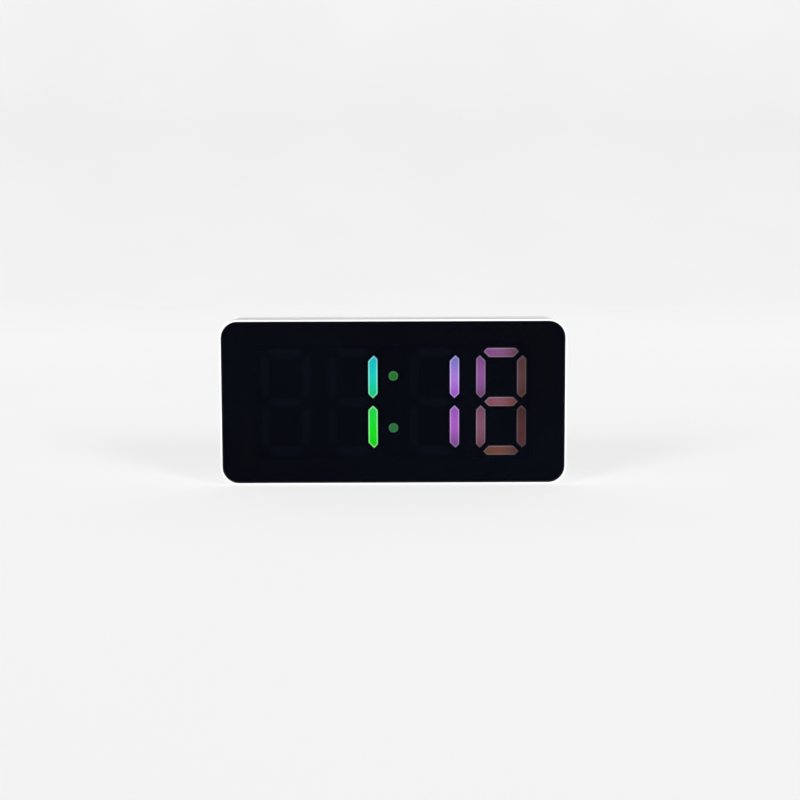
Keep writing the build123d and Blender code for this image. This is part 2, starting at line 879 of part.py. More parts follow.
def make_rear_shell():
    cavity = make_rear_cavity()
    with BuildPart() as rear_shell:
        with BuildSketch(depth_plane(shell_front_y)):
            RectangleRounded(clock_width, housing_height, corner_radius)
        extrude(amount=-(rear_y - shell_front_y))
        fillet(rear_shell.edges().group_by(Axis.Y)[-1], rear_edge_radius)
        add(cavity.part, mode=Mode.SUBTRACT)
        # Step that enters the front housing
        lip_width = inner_width - 2 * fit_gap
        lip_height = inner_height - 2 * fit_gap
        lip_radius = inner_radius - fit_gap
        with BuildSketch(depth_plane(shell_front_y - lip_length)):
            RectangleRounded(lip_width, lip_height, lip_radius)
            RectangleRounded(
                lip_width - 2 * lip_thickness,
                lip_height - 2 * lip_thickness,
                lip_radius - lip_thickness,
                mode=Mode.SUBTRACT,
            )
        extrude(amount=-(lip_length + lip_root))
        with BuildSketch(depth_plane(shell_front_y)):
            RectangleRounded(inner_width + wall, inner_height + wall, inner_radius + wall / 2)
            RectangleRounded(
                lip_width - 2 * lip_thickness,
                lip_height - 2 * lip_thickness,
                lip_radius - lip_thickness,
                mode=Mode.SUBTRACT,
            )
        extrude(amount=-lip_root)
        # Screw columns and the bosses of the button board
        with BuildSketch(depth_plane(shell_front_y)):
            draw_columns(rear_column_diameter)
        extrude(amount=-(rear_inner_y - shell_front_y + wall / 2))
        with BuildSketch(depth_plane(strip_board_rear_y)):
            with Locations(*[(x, button_row) for x in strip_screw_places]):
                Circle(strip_boss_diameter / 2)
        extrude(amount=-(rear_inner_y - strip_board_rear_y + wall / 2))
        # Thickening behind the button strip, the power recess and the buzzer
        with BuildSketch(depth_plane(strip_inner_y)):
            with Locations((0, button_row)):
                SlotOverall(strip_length + 2 * strip_pad, strip_height + 2 * strip_pad)
            with Locations((socket_x, button_row)):
                RectangleRounded(
                    plug_recess_width + 2 * plug_recess_wall,
                    plug_recess_height + 2 * plug_recess_wall,
                    plug_recess_corner,
                )
        extrude(amount=-(rear_inner_y - strip_inner_y + wall / 2))
        collar = buzzer_diameter / 2 + fit_gap
        with BuildSketch(depth_plane(rear_inner_y - buzzer_collar_height)):
            with Locations((buzzer_x, buzzer_z)):
                Circle(collar + collar_wall)
                Circle(collar, mode=Mode.SUBTRACT)
        extrude(amount=-(buzzer_collar_height + wall / 2))
        # Battery well and the ledge that the door rests on
        with BuildSketch(depth_plane(bay_floor_y - bay_wall)):
            with Locations((0, bay_centre_z)):
                Rectangle(bay_length + 2 * bay_wall, bay_height + 2 * bay_wall)
        extrude(amount=-(rear_inner_y - bay_floor_y + bay_wall + wall / 2))
        with BuildSketch(depth_plane(ledge_back_y)):
            with Locations((0, bay_centre_z)):
                Rectangle(bay_recess_width + 2 * ledge_backing, bay_recess_height + 2 * ledge_backing)
        extrude(amount=-(rear_inner_y - ledge_back_y + wall / 2))
        with BuildSketch(depth_plane(bay_floor_y)):
            with Locations((0, bay_centre_z)):
                Rectangle(bay_length, bay_height)
        extrude(amount=-(rear_y - bay_floor_y), mode=Mode.SUBTRACT)
        with BuildSketch(depth_plane(door_inner_y - door_seat_gap)):
            with Locations((0, bay_centre_z)):
                RectangleRounded(bay_recess_width, bay_recess_height, door_radius)
        extrude(amount=-(door_thickness + door_seat_gap), mode=Mode.SUBTRACT)
        # Slots for the door's tabs: behind the wall, and through the ledge above its edge
        slot_top = bay_centre_z - bay_height / 2 + bay_wall
        slot_front_y = rear_inner_y - tab_foot - 2 * move_gap - tab_slot_room
        for low, back_y in (
            (door_bottom - tab_reach - move_gap, rear_inner_y),
            (door_bottom - move_gap, door_inner_y),
        ):
            with BuildSketch(depth_plane(slot_front_y)):
                with Locations(*[(x, (low + slot_top) / 2) for x in (-tab_place, tab_place)]):
                    Rectangle(tab_width + 2 * move_gap, slot_top - low)
            extrude(amount=-(back_y - slot_front_y), mode=Mode.SUBTRACT)
        notch_bottom = bay_centre_z + bay_height / 2 - bay_wall
        with BuildSketch(depth_plane(door_inner_y - latch_depth - 2 * move_gap)):
            with Locations((0, (notch_bottom + door_top) / 2)):
                Rectangle(latch_notch, door_top - notch_bottom)
        extrude(amount=-(latch_depth + 3 * move_gap), mode=Mode.SUBTRACT)
        # Finger scoop above the latch
        scoop_radius = (scoop_width**2 / 4 + scoop_depth**2) / (2 * scoop_depth)
        with Locations((0, rear_y + scoop_radius - scoop_depth, centre_z + door_top)):
            Sphere(scoop_radius, mode=Mode.SUBTRACT)
        # Strip for the buttons, with a hole for each
        with BuildSketch(depth_plane(strip_floor_y)):
            with Locations((0, button_row)):
                SlotOverall(strip_length, strip_height)
        extrude(amount=-strip_depth, mode=Mode.SUBTRACT)
        with BuildSketch(depth_plane(strip_inner_y)):
            with Locations(*[(x, button_row) for x in button_centres]):
                SlotOverall(button_length_hole, button_height_hole)
        extrude(amount=-strip_floor, mode=Mode.SUBTRACT)
        # Recess for the plug, and the opening for the socket in its floor
        with BuildSketch(depth_plane(socket_mouth_y)):
            with Locations((socket_x, button_row)):
                RectangleRounded(plug_recess_width, plug_recess_height, plug_recess_corner)
        extrude(amount=-plug_recess_depth, mode=Mode.SUBTRACT)
        with BuildSketch(depth_plane(strip_inner_y - overrun)):
            with Locations((socket_x, button_row)):
                Rectangle(socket_width + 2 * fit_gap, socket_height + 2 * fit_gap)
        extrude(amount=-(rear_y - strip_inner_y), mode=Mode.SUBTRACT)
        # Grille
        with BuildSketch(depth_plane(rear_inner_y)):
            with Locations(*grille_places()):
                Circle(grille_hole / 2)
        extrude(amount=-wall, mode=Mode.SUBTRACT)
        # Screw holes of the housing, then pilot holes for the button board
        with BuildSketch(depth_plane(shell_front_y)):
            with Locations(*column_places):
                Circle(case_screw_hole / 2)
        extrude(amount=-(rear_y - shell_front_y), mode=Mode.SUBTRACT)
        with BuildSketch(depth_plane(case_head_seat_y)):
            with Locations(*column_places):
                Circle(case_head_hole / 2)
        extrude(amount=-case_head_recess, mode=Mode.SUBTRACT)
        with BuildSketch(depth_plane(strip_board_rear_y)):
            with Locations(*[(x, button_row) for x in strip_screw_places]):
                Circle(screw_pilot / 2)
        extrude(amount=-screw_length, mode=Mode.SUBTRACT)
        # Broken rims of the screw recesses, the button strip and the plug recess
        back_edges = rear_shell.edges().group_by(Axis.Y)[-1]
        rims = back_edges.filter_by(GeomType.CIRCLE).filter_by(
            lambda e: abs(e.radius - case_head_hole / 2) < hole_gap
        )
        strip_rims = back_edges.filter_by_position(
            Axis.Z,
            centre_z + button_row - strip_height / 2 - hole_gap,
            centre_z + button_row + strip_height / 2 + hole_gap,
        )
        rims += strip_rims.filter_by_position(
            Axis.X, -strip_length / 2 - hole_gap, socket_x + plug_recess_width / 2 + hole_gap
        )
        chamfer(rims, recess_edge)
    save(rear_shell, "rear_shell")


def make_feet():
    with BuildPart() as rubber_feet:
        with BuildSketch(Plane.XY):
            with Locations(*foot_places()):
                Circle(foot_diameter / 2)
        extrude(amount=foot_stand_off + foot_well)
        chamfer(rubber_feet.edges().group_by(Axis.Z)[0], foot_edge)
    save(rubber_feet, "rubber_feet")


def make_buttons():
    """Five caps behind the button strip, each with the plunger of the switch that it presses."""
    for name, x in zip(button_names, button_centres):
        with BuildPart() as button:
            with BuildSketch(depth_plane(button_flange_y)):
                with Locations((x, button_row)):
                    SlotOverall(button_length, button_height)
            extrude(amount=-(strip_floor_y + button_out - button_flange_y))
            fillet(button.edges().group_by(Axis.Y)[-1], button_edge)
            with BuildSketch(depth_plane(button_flange_y)):
                with Locations((x, button_row)):
                    SlotOverall(button_length + 2 * button_flange, button_height + 2 * button_flange)
            extrude(amount=button_flange_thickness)
            with BuildSketch(depth_plane(button_flange_y - button_flange_thickness)):
                with Locations((x, button_row)):
                    Circle(button_stem_diameter / 2)
            extrude(amount=button_stem)
        save(button, f"button_{name}")

        with BuildPart() as plunger:
            with BuildSketch(depth_plane(plunger_tip_y)):
                with Locations((x, button_row)):
                    Circle(plunger_diameter / 2)
            extrude(amount=plunger_out + plunger_in)
        save(plunger, f"plunger_{name}")


def make_button_board():
    with BuildPart() as tact_switches:
        places = [(x, button_row) for x in button_centres]
        with BuildSketch(depth_plane(tact_top_y)):
            with Locations(*places):
                Rectangle(tact_size, tact_size)
        extrude(amount=tact_height)
        with BuildSketch(depth_plane(tact_top_y)):
            with Locations(*places):
                Circle(plunger_diameter / 2 + slide_gap)
        extrude(amount=plunger_in + button_travel + tact_bore_floor, mode=Mode.SUBTRACT)
    save(tact_switches, "tact_switches")

    with BuildPart() as button_board:
        with BuildSketch(depth_plane(strip_board_front_y)):
            with Locations(((strip_board_left + strip_board_right) / 2, button_row)):
                RectangleRounded(strip_board_right - strip_board_left, strip_board_height, board_corner)
            with Locations(*[(x, button_row) for x in strip_screw_places]):
                Circle(screw_pilot / 2 + hole_gap, mode=Mode.SUBTRACT)
        extrude(amount=-strip_board_thickness)
    save(button_board, "button_board")


def make_power_socket():
    """A micro USB socket that stands on the button board and looks out of the back."""
    height = socket_mouth_y - strip_board_rear_y
    half = socket_width / 2
    low = socket_height / 2

    def draw_mouth(skin):
        with Locations((socket_x, button_row)):
            Polygon(
                (-half + skin, low - skin),
                (half - skin, low - skin),
                (half - skin, -low + socket_chamfer),
                (half - socket_chamfer, -low + skin),
                (-half + socket_chamfer, -low + skin),
                (-half + skin, -low + socket_chamfer),
                align=None,
            )

    with BuildPart() as power_socket:
        with BuildSketch(depth_plane(strip_board_rear_y)):
            draw_mouth(0)
        extrude(amount=-height)
        with BuildSketch(depth_plane(socket_mouth_y - socket_mouth_depth)):
            draw_mouth(socket_skin)
        extrude(amount=-socket_mouth_depth, mode=Mode.SUBTRACT)
        with BuildSketch(depth_plane(socket_mouth_y - socket_mouth_depth)):
            with Locations((socket_x, button_row + socket_tongue_thickness / 2)):
                Rectangle(socket_tongue_width, socket_tongue_thickness)
        extrude(amount=-(socket_mouth_depth - socket_skin))
        with BuildSketch(depth_plane(strip_board_rear_y)):
            with Locations((socket_x, button_row)):
                Rectangle(socket_base_width, socket_base_height)
        extrude(amount=-(height - socket_mouth_depth))
    save(power_socket, "power_socket")


def make_buzzer():
    with BuildPart() as buzzer:
        back_y = rear_inner_y - fit_gap
        with BuildSketch(depth_plane(back_y)):
            with Locations((buzzer_x, buzzer_z)):
                Circle(buzzer_diameter / 2)
        extrude(amount=buzzer_height)
        with BuildSketch(depth_plane(back_y)):
            with Locations((buzzer_x, buzzer_z)):
                Circle(buzzer_vent / 2)
        extrude(amount=buzzer_vent_depth, mode=Mode.SUBTRACT)
    save(buzzer, "buzzer")


def make_door():
    with BuildPart() as battery_door:
        with BuildSketch(depth_plane(door_inner_y)):
            with Locations((0, bay_centre_z)):
                RectangleRounded(door_width, door_height, door_radius)
            # Notch round the latch
            with Locations((0, door_top)):
                Rectangle(latch_notch, 2 * (latch_drop + latch_span - latch_leaf), mode=Mode.SUBTRACT)
        extrude(amount=-door_thickness)
        # Spring latch: a loop of thin leaf, open towards the back
        outer_low = door_top - latch_drop - latch_span
        outer_high = door_top - latch_drop
        bend_y = door_inner_y - latch_depth
        with BuildSketch(side_plane(-latch_width / 2)):
            with BuildLine():
                Polyline(
                    (rear_y, outer_high),
                    (bend_y, outer_high),
                    (bend_y, outer_low),
                    (rear_y - door_thickness / 2, outer_low),
                    (rear_y - door_thickness / 2, outer_low + latch_leaf),
                    (bend_y + latch_leaf, outer_low + latch_leaf),
                    (bend_y + latch_leaf, outer_high - latch_leaf),
                    (rear_y, outer_high - latch_leaf),
                    close=True,
                )
            make_face()
        extrude(amount=latch_width)
        # Grooves for the thumb
        grip_z = [door_top - grip_drop - i * grip_pitch for i in range(grip_count)]
        with BuildSketch(depth_plane(rear_y - grip_depth)):
            with Locations(*[(0, z) for z in grip_z]):
                SlotOverall(grip_length, grip_width)
        extrude(amount=-grip_depth, mode=Mode.SUBTRACT)
        # Hooked tabs that the door swings on
        foot_y = rear_inner_y - move_gap
        for x in (-tab_place, tab_place):
            with BuildSketch(side_plane(x - tab_width / 2)):
                with BuildLine():
                    Polyline(
                        (door_inner_y, door_bottom),
                        (foot_y, door_bottom),
                        (foot_y, door_bottom - tab_reach),
                        (foot_y - tab_foot, door_bottom - tab_reach),
                        (foot_y - tab_foot, door_bottom + tab_root),
                        (door_inner_y, door_bottom + tab_root),
                        close=True,
                    )
                make_face()
            extrude(amount=tab_width)
    save(battery_door, "battery_door")


def cell_side(number):
    """Which way a cell's positive end points: the cells lie head to tail."""
    return 1 if number % 2 else -1


def make_cells():
    """Three AAA cells, head to tail. Each stands clear of its spring by the contact gap."""
    with BuildPart() as battery_cells:
        for number, z in enumerate(cell_heights):
            side = cell_side(number)
            tip = side * (bay_length / 2 - contact_thickness - contact_gap)
            axis_plane = Plane(origin=(tip, cell_y, centre_z + z), x_dir=(0, 1, 0), z_dir=(-side, 0, 0))
            with BuildSketch(axis_plane):
                Circle(cell_nipple_diameter / 2)
            extrude(amount=cell_nipple_length)
            with BuildSketch(axis_plane.offset(cell_nipple_length)):
                Circle(cell_diameter / 2)
            extrude(amount=cell_length - cell_nipple_length)
        rims = battery_cells.edges().filter_by(GeomType.CIRCLE).filter_by(
            lambda e: abs(e.radius - cell_diameter / 2) < fit_gap
        )
        chamfer(rims, cell_crimp)
    save(battery_cells, "battery_cells")


def make_contacts():
    """Contact plates against the ends of the bay: two single ones, and two that each join two cells."""
    plate_places = {
        -1: [(cell_heights[0], cell_heights[0]), (cell_heights[1], cell_heights[2])],
        1: [(cell_heights[0], cell_heights[1]), (cell_heights[2], cell_heights[2])],
    }
    with BuildPart() as contact_plates:
        for side, spans in plate_places.items():
            start = side * bay_length / 2
            end_wall = Plane(origin=(start, cell_y, centre_z), x_dir=(0, -side, 0), z_dir=(-side, 0, 0))
            with BuildSketch(end_wall):
                for low, high in spans:
                    with Locations((0, (low + high) / 2)):
                        Rectangle(contact_width, high - low + contact_width)
            extrude(amount=contact_thickness)
    save(contact_plates, "contact_plates")

    with BuildPart() as contact_springs:
        for number, z in enumerate(cell_heights):
            side = -cell_side(number)
            start = side * (bay_length / 2 - contact_thickness - spring_wire / 2 - contact_gap)
            length = bay_length - 2 * contact_thickness - cell_length - 3 * contact_gap - spring_wire
            cone = math.degrees(math.atan2(spring_wide - spring_narrow, length))
            coil = Helix(length / spring_turns, length, spring_wide, cone_angle=-cone)
            base = Plane(origin=(start, cell_y, centre_z + z), x_dir=(0, 1, 0), z_dir=(-side, 0, 0))
            path = base * coil
            with BuildSketch(Plane(origin=path @ 0, z_dir=path % 0)):
                Circle(spring_wire / 2)
            sweep(path=path, is_frenet=True)
    save(contact_springs, "contact_springs")


def make_lead(points, bends):
    """One insulated lead along straight runs joined by arcs."""
    with BuildLine() as route:
        FilletPolyline(*points, radius=bends)
    with BuildSketch(Plane(origin=route.line @ 0, z_dir=route.line % 0)) as section:
        Circle(lead_diameter / 2)
    sweep(section.sketch, path=route.line)


def make_leads():
    """The leads of the battery and the buzzer, and the sockets that they plug into."""
    socket_top_y = board_back_y + lead_socket_height
    with BuildPart() as lead_sockets:
        with BuildSketch(depth_plane(board_back_y)):
            with Locations(battery_socket_place, buzzer_socket_place):
                Rectangle(lead_socket_size, lead_socket_size)
        extrude(amount=-lead_socket_height)
    save(lead_sockets, "lead_sockets")

    with BuildPart() as battery_leads:
        x, z = battery_socket_place
        for side, z_start in ((-1, cell_heights[0]), (1, cell_heights[-1])):
            z_end = z + side * lead_pitch / 2
            make_lead(
                [
                    (bay_left, cell_y, centre_z + z_start),
                    (x, cell_y, centre_z + z_start),
                    (x, (cell_y + socket_top_y) / 2, centre_z + z_end),
                    (x, socket_top_y, centre_z + z_end),
                ],
                lead_bend / 2,
            )
    save(battery_leads, "battery_leads")

    with BuildPart() as buzzer_leads:
        x, z = buzzer_socket_place
        start_y = rear_inner_y - fit_gap - buzzer_height
        turn_y = start_y + buzzer_lead_share * (socket_top_y - start_y)
        for side in (-1, 1):
            make_lead(
                [
                    (x + side * lead_pitch / 2, start_y, centre_z + buzzer_z),
                    (x + side * lead_pitch / 2, turn_y, centre_z + buzzer_z),
                    (x + side * lead_pitch / 2, turn_y, centre_z + z),
                    (x + side * lead_pitch / 2, socket_top_y, centre_z + z),
                ],
                lead_diameter,
            )
    save(buzzer_leads, "buzzer_leads")


make_front_housing()
make_front_panel()
make_reflector()
make_lenses()
make_led_chips()
make_main_board()
make_screws(
    "board_screws",
    Plane(origin=(0, board_back_y, centre_z), x_dir=(1, 0, 0), z_dir=(0, -1, 0)),
    board_screw_places,
    screw_core,
    screw_length,
    screw_head_diameter,
    screw_head_height,
)
make_board_parts()
make_cable()
make_snooze()
make_rear_shell()
make_screws(
    "housing_screws",
    Plane(origin=(0, case_head_seat_y, centre_z), x_dir=(1, 0, 0), z_dir=(0, -1, 0)),
    column_places,
    case_screw_core,
    case_screw_length,
    case_head_diameter,
    case_head_height,
)
make_feet()
make_buttons()
make_button_board()
make_screws(
    "button_board_screws",
    Plane(origin=(0, strip_board_front_y, centre_z), x_dir=(1, 0, 0), z_dir=(0, 1, 0)),
    [(x, -button_row) for x in strip_screw_places],
    screw_core,
    screw_length,
    screw_head_diameter,
    screw_head_height,
)
make_power_socket()
make_buzzer()
make_door()
make_cells()
make_contacts()
make_leads()
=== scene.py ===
import math

import bmesh
import bpy
from mathutils import Euler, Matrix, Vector


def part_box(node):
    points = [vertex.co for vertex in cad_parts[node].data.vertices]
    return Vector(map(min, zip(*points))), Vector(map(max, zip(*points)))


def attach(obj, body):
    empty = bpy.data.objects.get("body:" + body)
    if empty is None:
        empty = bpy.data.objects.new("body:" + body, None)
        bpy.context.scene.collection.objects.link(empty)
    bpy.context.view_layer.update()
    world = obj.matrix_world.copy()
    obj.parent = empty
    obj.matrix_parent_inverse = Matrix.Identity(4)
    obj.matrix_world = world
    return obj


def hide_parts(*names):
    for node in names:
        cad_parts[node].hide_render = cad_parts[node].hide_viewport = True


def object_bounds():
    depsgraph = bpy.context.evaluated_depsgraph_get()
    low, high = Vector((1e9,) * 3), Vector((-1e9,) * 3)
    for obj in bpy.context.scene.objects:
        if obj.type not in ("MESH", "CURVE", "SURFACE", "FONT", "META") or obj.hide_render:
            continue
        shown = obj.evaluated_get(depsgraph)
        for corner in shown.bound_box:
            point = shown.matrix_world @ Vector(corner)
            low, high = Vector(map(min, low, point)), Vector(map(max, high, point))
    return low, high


# A digital LED desk clock, in metres. It stands on Z = 0 and its face looks along -Y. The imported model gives
# the pieces and their places. This script gives them their surfaces, rebuilds the bars behind the face with
# their moulded edges, and sets the floor, the lights and the camera.

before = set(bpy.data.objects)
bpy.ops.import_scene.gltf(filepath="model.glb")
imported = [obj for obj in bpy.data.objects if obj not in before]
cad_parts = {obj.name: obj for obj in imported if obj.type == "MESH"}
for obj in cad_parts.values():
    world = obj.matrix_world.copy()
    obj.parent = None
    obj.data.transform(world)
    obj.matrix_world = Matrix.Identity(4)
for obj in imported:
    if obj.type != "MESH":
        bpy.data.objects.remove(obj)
cad_low, cad_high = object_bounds()

MM = 0.001
CLOCK = "clock_case"

# The display's own sizes, as in the part's source
FACE_CENTRE_Z = 37.8 * MM
DIGIT_PLACES = (-48.9 * MM, -18.5 * MM, 18.5 * MM, 48.9 * MM)
BAR_WIDTH = 4.2 * MM
BAR_COLUMN = 9.24 * MM
BAR_ROW = 22.3 * MM
BAR_GAP = 2.3 * MM
CORNER_SHIFT = 0.43 * MM
DOT_RADIUS = 2.15 * MM
DOT_HEIGHT = 11.85 * MM

# The sloped band round the front of each bar and dot
EDGE_BAND = 0.55 * MM
EDGE_DROP = 0.18 * MM

# Light from behind the panel passes its two faces, so the bars are brighter by what these hold back
PANEL_ALPHA = 0.68
LIT_GAIN = 1.0 / (1.0 - PANEL_ALPHA) ** 2

WHITE = (1.0, 1.0, 1.0, 1.0)


def linear(red, green, blue):
    """A screen colour of 0 to 255 as the linear colour that a shader takes."""
    shares = [value / 255 for value in (red, green, blue)]
    return tuple(s / 12.92 if s <= 0.04045 else ((s + 0.055) / 1.055) ** 2.4 for s in shares) + (1.0,)


def add_object(name, data):
    """A new object in the scene."""
    made = bpy.data.objects.new(name, data)
    bpy.context.scene.collection.objects.link(made)
    return made


# Steps that surfaces are made of


def new_surface(name):
    """A material with its tree, its shader and the object's own coordinates."""
    made = bpy.data.materials.new(name)
    made.use_nodes = True
    tree = made.node_tree
    place = tree.nodes.new("ShaderNodeTexCoord")
    return made, tree, tree.nodes["Principled BSDF"], place.outputs["Object"]


def feed(tree, socket, value):
    """Gives an input its value: a link from a socket, or a number or colour of its own."""
    if hasattr(value, "is_linked"):
        tree.links.new(value, socket)
    else:
        socket.default_value = value


def set_inputs(tree, shader, **values):
    """Feeds the shader's own sockets, by names with underscores for spaces."""
    for name, value in values.items():
        feed(tree, shader.inputs[name.replace("_", " ")], value)


def add_noise(tree, place, scale, detail=3.0, stretch=(1.0, 1.0, 1.0)):
    """A noise over the object's own coordinates, which stretch draws out along an axis."""
    mapping = tree.nodes.new("ShaderNodeMapping")
    mapping.inputs["Scale"].default_value = stretch
    noise = tree.nodes.new("ShaderNodeTexNoise")
    noise.inputs["Scale"].default_value = scale
    noise.inputs["Detail"].default_value = detail
    tree.links.new(place, mapping.inputs["Vector"])
    tree.links.new(mapping.outputs["Vector"], noise.inputs["Vector"])
    return noise.outputs["Fac"]


def add_range(tree, value, low, high, start=0.3, end=0.7):
    """The value from start to end, spread from low to high."""
    spread = tree.nodes.new("ShaderNodeMapRange")
    spread.inputs["From Min"].default_value = start
    spread.inputs["From Max"].default_value = end
    spread.inputs["To Min"].default_value = low
    spread.inputs["To Max"].default_value = high
    tree.links.new(value, spread.inputs["Value"])
    return spread.outputs["Result"]


def add_math(tree, operation, *values):
    """One step of arithmetic on sockets or numbers."""
    step = tree.nodes.new("ShaderNodeMath")
    step.operation = operation
    for socket, value in zip(step.inputs, values):
        feed(tree, socket, value)
    return step.outputs["Value"]


def add_mix(tree, share, first, second, blend="MIX"):
    """Two colours mixed by a share. Each is a socket, or a value of its own."""
    mix = tree.nodes.new("ShaderNodeMix")
    mix.data_type = "RGBA"
    mix.blend_type = blend
    # The mix node has sockets of each kind under the same names, so its colours go by number
    share_input, first_input, second_input, colour_output = 0, 6, 7, 2
    feed(tree, mix.inputs[share_input], share)
    feed(tree, mix.inputs[first_input], first)
    feed(tree, mix.inputs[second_input], second)
    return mix.outputs[colour_output]


def add_ramp(tree, value, stops):
    """A colour ramp through (place, screen colour) stops."""
    ramp = tree.nodes.new("ShaderNodeValToRGB")
    points = ramp.color_ramp.elements
    while len(points) < len(stops):
        points.new(0.5)
    for point, (where, colour) in zip(points, stops):
        point.position = where
        point.color = linear(*colour)
    tree.links.new(value, ramp.inputs["Fac"])
    return ramp.outputs["Color"]


def add_travel(tree, place, start, end):
    """How far a point is on the way from start to end, both (x, z): 0 at the start and 1 at the end."""
    way = Vector((end[0] - start[0], 0.0, end[1] - start[1]))
    dot = tree.nodes.new("ShaderNodeVectorMath")
    dot.operation = "DOT_PRODUCT"
    dot.inputs[1].default_value = way / way.length_squared
    offset = Vector((start[0], 0.0, start[1])).dot(way) / way.length_squared
    tree.links.new(place, dot.inputs[0])
    return add_range(tree, dot.outputs["Value"], 0.0, 1.0, offset, offset + 1.0)


def add_axes(tree, place):
    """The place's X, Y and Z, each by its name."""
    axes = tree.nodes.new("ShaderNodeSeparateXYZ")
    tree.links.new(place, axes.inputs["Vector"])
    return axes.outputs


def add_bump(tree, height, distance):
    """The normal of a surface that a height of 0 to 1 raises over a distance."""
    bump = tree.nodes.new("ShaderNodeBump")
    bump.inputs["Distance"].default_value = distance
    bump.inputs["Strength"].default_value = 1.0
    tree.links.new(height, bump.inputs["Height"])
    return bump.outputs["Normal"]


# Surfaces


def moulded(name, base, rough, shade=0.93, cloud_scale=60.0, grain=0.012 * MM, grain_scale=2600.0,
            stretch=(1.0, 1.0, 1.0), **constants):
    """A moulded, cast or drawn surface: its colour and gloss wander a little and a fine grain raises it."""
    rough_spread = 0.05
    made, tree, shader, place = new_surface(name)
    cloud = add_noise(tree, place, cloud_scale, detail=4.0, stretch=stretch)
    fine = add_noise(tree, place, grain_scale, detail=2.0, stretch=stretch)
    darker = tuple(value * shade for value in base[:3]) + (1.0,)
    colour = add_mix(tree, add_range(tree, cloud, 0.0, 1.0), base, darker)
    roughness = add_range(tree, fine, rough - rough_spread, rough + rough_spread)
    normal = add_bump(tree, fine, grain)
    set_inputs(tree, shader, Base_Color=colour, Roughness=roughness, Normal=normal, **constants)
    return made


def make_panel_surface():
    """The tinted half-mirror acrylic: nearly black, glossy, and clear enough for the lit bars behind it."""
    made, tree, shader, place = new_surface("tinted_mirror_acrylic")
    cloud = add_noise(tree, place, scale=22.0, detail=2.0)
    tint = add_mix(tree, add_range(tree, cloud, 0.0, 1.0), linear(1, 2, 9), linear(2, 4, 13))
    roughness = add_range(tree, cloud, low=0.03, high=0.06)
    set_inputs(tree, shader, Base_Color=tint, Roughness=roughness, IOR=1.11, Alpha=PANEL_ALPHA)
    return made


def make_board_surface():
    """A circuit board: green mask over paler copper tracks, with its weave."""
    mask_share = 0.35
    made, tree, shader, place = new_surface("circuit_board")
    tracks = tree.nodes.new("ShaderNodeTexBrick")
    tracks.inputs["Scale"].default_value = 160.0
    tracks.inputs["Mortar Size"].default_value = 0.06
    tracks.inputs["Color1"].default_value = linear(10, 66, 40)
    tracks.inputs["Color2"].default_value = linear(14, 76, 46)
    tracks.inputs["Mortar"].default_value = linear(52, 118, 74)
    turned = tree.nodes.new("ShaderNodeMapping")
    turned.inputs["Rotation"].default_value = (math.pi / 2, 0.0, 0.0)
    tree.links.new(place, turned.inputs["Vector"])
    tree.links.new(turned.outputs["Vector"], tracks.inputs["Vector"])
    weave = add_noise(tree, place, scale=1800.0, detail=2.0)
    cloud = add_range(tree, add_noise(tree, place, scale=90.0), low=0.75, high=1.0)
    colour = add_mix(tree, mask_share, tracks.outputs["Color"], cloud, "MULTIPLY")
    roughness = add_range(tree, weave, low=0.3, high=0.45)
    normal = add_bump(tree, tracks.outputs["Fac"], distance=0.02 * MM)
    set_inputs(tree, shader, Base_Color=colour, Roughness=roughness, Normal=normal)
    return made


def make_lit_surface(name, middle, half, left_stops, right_stops, end_drop, keep=1.0, pale=0.0):
    """A lit diffuser round its middle (x, z): its light runs down through the stops of its left and right
    side, half (x, z) from the middle, and mixes across. end_drop dims the ends of the bars. keep is the share
    of its own colour and pale the share of its brightness that shows as grey."""
    body_grey, body_share = linear(40, 42, 50), 0.85
    made, tree, shader, place = new_surface(name)
    down = add_travel(tree, place, (middle[0], middle[1] + half[1]), (middle[0], middle[1] - half[1]))
    across = add_travel(tree, place, (middle[0] - half[0], middle[1]), (middle[0] + half[0], middle[1]))
    colour = add_mix(tree, across, add_ramp(tree, down, left_stops), add_ramp(tree, down, right_stops))

    # Brightest at the middle of the upright bars, or of the level ones
    upright = add_math(tree, "ABSOLUTE", add_math(tree, "SINE", add_math(tree, "MULTIPLY", down, math.tau)))
    level = add_math(tree, "SINE", add_math(tree, "MULTIPLY", across, math.pi))
    middle_share = add_math(tree, "MAXIMUM", upright, level)
    light = add_math(tree, "MULTIPLY_ADD", middle_share, end_drop, 1.0 - end_drop)
    milky = add_range(tree, add_noise(tree, place, scale=1100.0), low=0.9, high=1.1)
    strength = add_math(tree, "MULTIPLY", add_math(tree, "MULTIPLY", milky, light), LIT_GAIN)

    # Its own colour and the grey of the same brightness, added up
    grey = tree.nodes.new("ShaderNodeRGBToBW")
    tree.links.new(colour, grey.inputs["Color"])
    pale_grey = add_math(tree, "MULTIPLY", grey.outputs["Val"], pale)
    own = add_mix(tree, 1.0, colour, (keep, keep, keep, 1.0), "MULTIPLY")
    glow = add_mix(tree, 1.0, own, pale_grey, "ADD")

    body = add_mix(tree, body_share, colour, body_grey)
    set_inputs(tree, shader, Base_Color=body, Roughness=0.5, Emission_Color=glow, Emission_Strength=strength)
    return made


